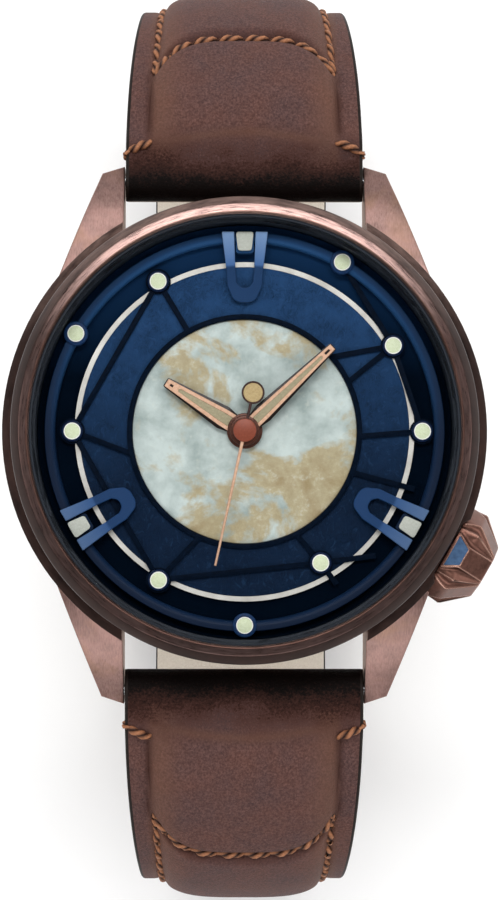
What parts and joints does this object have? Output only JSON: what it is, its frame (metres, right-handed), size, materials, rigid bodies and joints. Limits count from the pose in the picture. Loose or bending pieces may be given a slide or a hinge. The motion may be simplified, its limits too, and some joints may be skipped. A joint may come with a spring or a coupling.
{
  "type": "automatic wristwatch",
  "caption": "Round automatic wristwatch with a layered moon dial, faceted crown and padded leather strap, shown buckled and standing on its buckle.",
  "frame": {"origin": "on the hands' axis, in the outer face of the case back", "axes": "+Z out of the dial, +Y to twelve o'clock, +X to three o'clock"},
  "size_m": [0.0454, 0.0894, 0.0559],
  "materials": {
    "bronze_case": "brushed, aged bronze",
    "bronze_bezel": "circular brushed, aged bronze",
    "bronze_crown": "satin, aged bronze",
    "clear_glass": "polished",
    "seal_rubber": "matte",
    "steel": "fine machined",
    "blue_metal": "matte blue",
    "blue_inlay": "satin blue enamel",
    "dial_dark": "matte near-black blue",
    "dial_blue": "matte blue with a cracked slate texture",
    "white_metal": "satin white",
    "moon_print": "matte cream with tan patches",
    "lume": "matte luminous compound",
    "rose_metal": "satin rose gold",
    "gilt": "gilt",
    "nickel": "nickel plated, striped",
    "rotor_steel": "brushed",
    "blued_steel": "heat blued",
    "ruby": "polished",
    "leather": "waxed pull-up leather, stitched"
  },
  "bodies": {
    "case": {"case_middle": "bronze_case", "bezel": "bronze_bezel", "crystal": "clear_glass", "crystal_gasket": "seal_rubber", "case_back": "bronze_case", "case_back_glass": "clear_glass", "case_back_gasket": "seal_rubber", "movement_holder": "steel", "crown_tube": "steel", "dial_base": "dial_dark", "sector_plate": "dial_blue", "dial_lattice": "dial_dark", "track_ring": "white_metal", "moon_disc": "moon_print", "flange_ring": "blue_metal", "hour_brackets": "blue_metal", "bracket_lume": "lume", "plot_cups": "dial_dark", "plot_lume": "lume", "main_plate": "nickel", "balance_cock": "nickel", "barrel_bridge": "nickel", "train_bridge": "nickel", "rotor_bearing": "nickel", "bridge_screws": "blued_steel", "jewels": "ruby", "strap_upper": "leather", "strap_lower": "leather", "spring_bar_upper": "steel", "spring_bar_lower": "steel", "keeper_fixed": "leather", "buckle_frame": "bronze_case", "buckle_bar": "steel"},
    "crown_seal": {"crown_gasket": "seal_rubber"},
    "crown": {"crown": "bronze_crown", "crown_inlay": "blue_inlay", "crown_stem": "steel"},
    "barrel": {"barrel": "gilt", "mainspring": "blued_steel"},
    "winding": {"barrel_arbor": "steel", "ratchet_wheel": "gilt"},
    "centre_wheel": {"centre_wheel": "gilt"},
    "third_wheel": {"third_wheel": "gilt"},
    "seconds": {"fourth_wheel": "gilt", "seconds_hand": "rose_metal"},
    "escape_wheel": {"escape_wheel": "steel"},
    "pallet_fork": {"pallet_fork": "steel"},
    "balance": {"balance_wheel": "gilt", "hairspring": "blued_steel"},
    "minutes": {"cannon_pinion": "steel", "minute_hand": "rose_metal", "minute_hand_lume": "lume"},
    "minute_wheel": {"minute_wheel": "gilt"},
    "hours": {"hour_wheel": "gilt", "hour_hand": "rose_metal", "hour_hand_lume": "lume"},
    "rotor": {"rotor": "rotor_steel"},
    "sliding_loop": {"keeper_sliding": "leather"},
    "tongue": {"buckle_prong": "bronze_case"}
  },
  "joints": [
    {"name": "crown_pull", "type": "slide", "parent": "case", "child": "crown_seal", "axis": [0.866, -0.5, 0], "range_m": [0, 0.0016]},
    {"name": "crown_turn", "type": "hinge", "parent": "crown_seal", "child": "crown", "pos_m": [0.02035, -0.01175, 0.0057], "axis": [0.866, -0.5, 0], "continuous": true},
    {"name": "seconds_turn", "type": "hinge", "parent": "case", "child": "seconds", "pos_m": [0, 0, 0.0045], "axis": [0, 0, 1], "continuous": true},
    {"name": "centre_turn", "type": "hinge", "parent": "case", "child": "centre_wheel", "pos_m": [0, 0, 0.006], "axis": [0, 0, 1], "continuous": true},
    {"name": "third_turn", "type": "hinge", "parent": "case", "child": "third_wheel", "pos_m": [0.00331, -0.00331, 0.005], "axis": [0, 0, 1], "continuous": true},
    {"name": "barrel_turn", "type": "hinge", "parent": "case", "child": "barrel", "pos_m": [-0.00475, 0.00475, 0.005], "axis": [0, 0, 1], "continuous": true},
    {"name": "escape_turn", "type": "hinge", "parent": "case", "child": "escape_wheel", "pos_m": [-0.00292, -0.00349, 0.005], "axis": [0, 0, 1], "continuous": true},
    {"name": "minute_hand_turn", "type": "hinge", "parent": "case", "child": "minutes", "pos_m": [0, 0, 0.009], "axis": [0, 0, 1], "continuous": true},
    {"name": "minute_wheel_turn", "type": "hinge", "parent": "case", "child": "minute_wheel", "pos_m": [0.00248, 0.0009, 0.0078], "axis": [0, 0, 1], "continuous": true},
    {"name": "hour_hand_turn", "type": "hinge", "parent": "case", "child": "hours", "pos_m": [0, 0, 0.009], "axis": [0, 0, 1], "continuous": true},
    {"name": "winding_turn", "type": "hinge", "parent": "case", "child": "winding", "pos_m": [-0.00475, 0.00475, 0.004], "axis": [0, 0, 1], "continuous": true},
    {"name": "pallet_swing", "type": "hinge", "parent": "case", "child": "pallet_fork", "pos_m": [-0.00292, -0.00611, 0.005], "axis": [0, 0, 1], "range_deg": [-5, 5]},
    {"name": "balance_swing", "type": "hinge", "parent": "case", "child": "balance", "pos_m": [-0.00102, -0.00941, 0.005], "axis": [0, 0, 1], "range_deg": [-150, 150], "stiffness_Nm_per_rad": 0.0000002},
    {"name": "rotor_turn", "type": "hinge", "parent": "case", "child": "rotor", "pos_m": [0, 0, 0.0025], "axis": [0, 0, 1], "continuous": true},
    {"name": "loop_slide", "type": "slide", "parent": "case", "child": "sliding_loop", "axis": [0, 1, 0], "range_m": [-0.0014, 0.0006]},
    {"name": "tongue_lift", "type": "hinge", "parent": "case", "child": "tongue", "pos_m": [0, 0.00221, -0.0367], "axis": [1, 0, 0], "range_deg": [0, 4]}
  ],
  "couplings": [
    {"joint": "centre_turn", "follows": "seconds_turn", "ratio": 0.016667},
    {"joint": "third_turn", "follows": "seconds_turn", "ratio": -0.13333},
    {"joint": "barrel_turn", "follows": "seconds_turn", "ratio": -0.0027778},
    {"joint": "escape_turn", "follows": "seconds_turn", "ratio": -12},
    {"joint": "minute_hand_turn", "follows": "seconds_turn", "ratio": 0.016667},
    {"joint": "minute_wheel_turn", "follows": "seconds_turn", "ratio": -0.0055556},
    {"joint": "hour_hand_turn", "follows": "seconds_turn", "ratio": 0.0013889}
  ]
}
